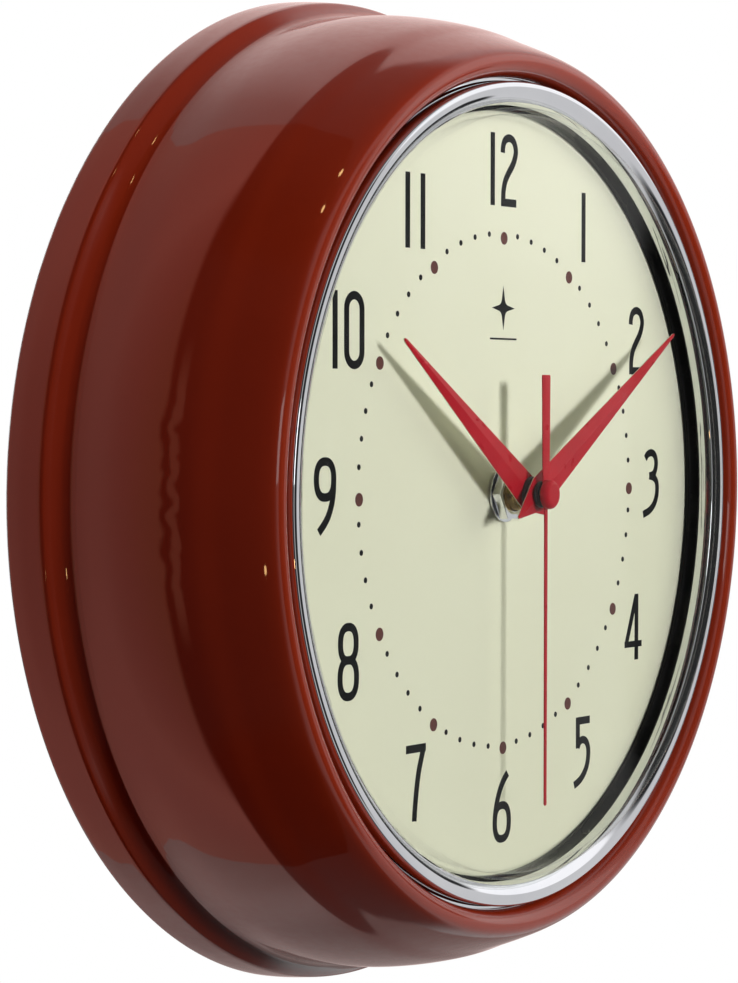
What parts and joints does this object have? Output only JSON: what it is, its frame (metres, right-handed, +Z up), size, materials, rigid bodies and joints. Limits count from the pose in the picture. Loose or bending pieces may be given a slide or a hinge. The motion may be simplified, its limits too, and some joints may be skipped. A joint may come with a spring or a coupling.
{
  "type": "wall clock",
  "caption": "Round retro wall clock with a deep glossy red case, chrome bezel, domed lens, cream numbered dial, red lance hands and a quartz movement.",
  "frame": {"origin": "on the hands' axis, half way between the lens's apex and the wall", "axes": "+Z up to twelve o'clock, +X towards three o'clock, +Y towards the wall; the dial faces -Y"},
  "size_m": [0.2412, 0.0716, 0.2412],
  "materials": {
    "red_paint": "gloss",
    "chrome": "polished",
    "rubber": "matte",
    "clear_lens": "clear",
    "black_plastic": "satin",
    "dial_paper": "matte print",
    "plated_steel": "zinc plated",
    "screw_steel": "dark plated",
    "hand_paint": "satin",
    "brass": "turned",
    "gear_plastic": "moulded",
    "magnet": "bonded magnet",
    "copper": "enamelled wire",
    "green_board": "solder mask",
    "battery_jacket": "gloss"
  },
  "bodies": {
    "case": {"case_shell": "red_paint", "bezel_ring": "chrome", "bush_nut": "chrome", "bush_washer": "chrome", "lens_gasket": "rubber", "rubber_washer": "rubber", "wall_bumper_1": "rubber", "wall_bumper_2": "rubber", "glass_lens": "clear_lens", "dial_spacer_ring": "black_plastic", "movement_housing": "black_plastic", "middle_plate": "black_plastic", "movement_cover": "black_plastic", "controller_chip": "black_plastic", "dial_plate": "dial_paper", "dial_clamp_ring": "plated_steel", "clamp_bracket_1": "plated_steel", "clamp_bracket_2": "plated_steel", "clamp_bracket_3": "plated_steel", "clamp_bracket_4": "plated_steel", "hanger_plate": "plated_steel", "stator": "plated_steel", "quartz_crystal": "plated_steel", "contact_positive": "plated_steel", "contact_negative": "plated_steel", "clamp_screw_1": "screw_steel", "clamp_screw_2": "screw_steel", "clamp_screw_3": "screw_steel", "clamp_screw_4": "screw_steel", "hanger_screw_1": "screw_steel", "hanger_screw_2": "screw_steel", "threaded_bush": "brass", "coil_bobbin": "gear_plastic", "coil_winding": "copper", "circuit_board": "green_board"},
    "minute_arbor": {"centre_wheel": "brass", "minute_hand": "hand_paint", "minute_hand_collet": "black_plastic"},
    "hour_arbor": {"hour_wheel": "gear_plastic", "hour_hand": "hand_paint", "hour_hand_collet": "black_plastic"},
    "second_arbor": {"second_wheel": "gear_plastic", "second_hand": "hand_paint", "second_hand_cap": "hand_paint"},
    "third": {"third_wheel": "gear_plastic"},
    "intermediate": {"intermediate_wheel": "gear_plastic"},
    "motor_rotor": {"rotor": "magnet"},
    "setting": {"setting_wheel": "gear_plastic", "setting_knob": "black_plastic"},
    "battery": {"battery_cell": "battery_jacket"}
  },
  "joints": [
    {"name": "minute_turn", "type": "hinge", "parent": "case", "child": "minute_arbor", "pos_m": [0, -0.02835, 0], "axis": [0, 1, 0], "continuous": true},
    {"name": "hour_turn", "type": "hinge", "parent": "case", "child": "hour_arbor", "pos_m": [0, -0.02575, 0], "axis": [0, 1, 0], "continuous": true},
    {"name": "second_turn", "type": "hinge", "parent": "case", "child": "second_arbor", "pos_m": [0, -0.0304, 0], "axis": [0, 1, 0], "continuous": true},
    {"name": "third_wheel_turn", "type": "hinge", "parent": "case", "child": "third", "pos_m": [-0.00721, -0.00975, 0.00721], "axis": [0, 1, 0], "continuous": true},
    {"name": "intermediate_wheel_turn", "type": "hinge", "parent": "case", "child": "intermediate", "pos_m": [0, -0.00605, 0.0072], "axis": [0, 1, 0], "continuous": true},
    {"name": "rotor_turn", "type": "hinge", "parent": "case", "child": "motor_rotor", "pos_m": [0, -0.00435, 0.01245], "axis": [0, 1, 0], "continuous": true},
    {"name": "setting_turn", "type": "hinge", "parent": "case", "child": "setting", "pos_m": [0.00815, -0.01235, 0.00815], "axis": [0, 1, 0], "continuous": true},
    {"name": "battery_slide", "type": "slide", "parent": "case", "child": "battery", "axis": [0, 1, 0], "range_m": [0, 0.03]}
  ],
  "couplings": [
    {"joint": "hour_turn", "follows": "minute_turn", "ratio": 0.083333},
    {"joint": "second_turn", "follows": "minute_turn", "ratio": 60},
    {"joint": "third_wheel_turn", "follows": "minute_turn", "ratio": -8},
    {"joint": "intermediate_wheel_turn", "follows": "minute_turn", "ratio": -300},
    {"joint": "rotor_turn", "follows": "minute_turn", "ratio": 1800},
    {"joint": "setting_turn", "follows": "minute_turn", "ratio": -0.33333}
  ]
}
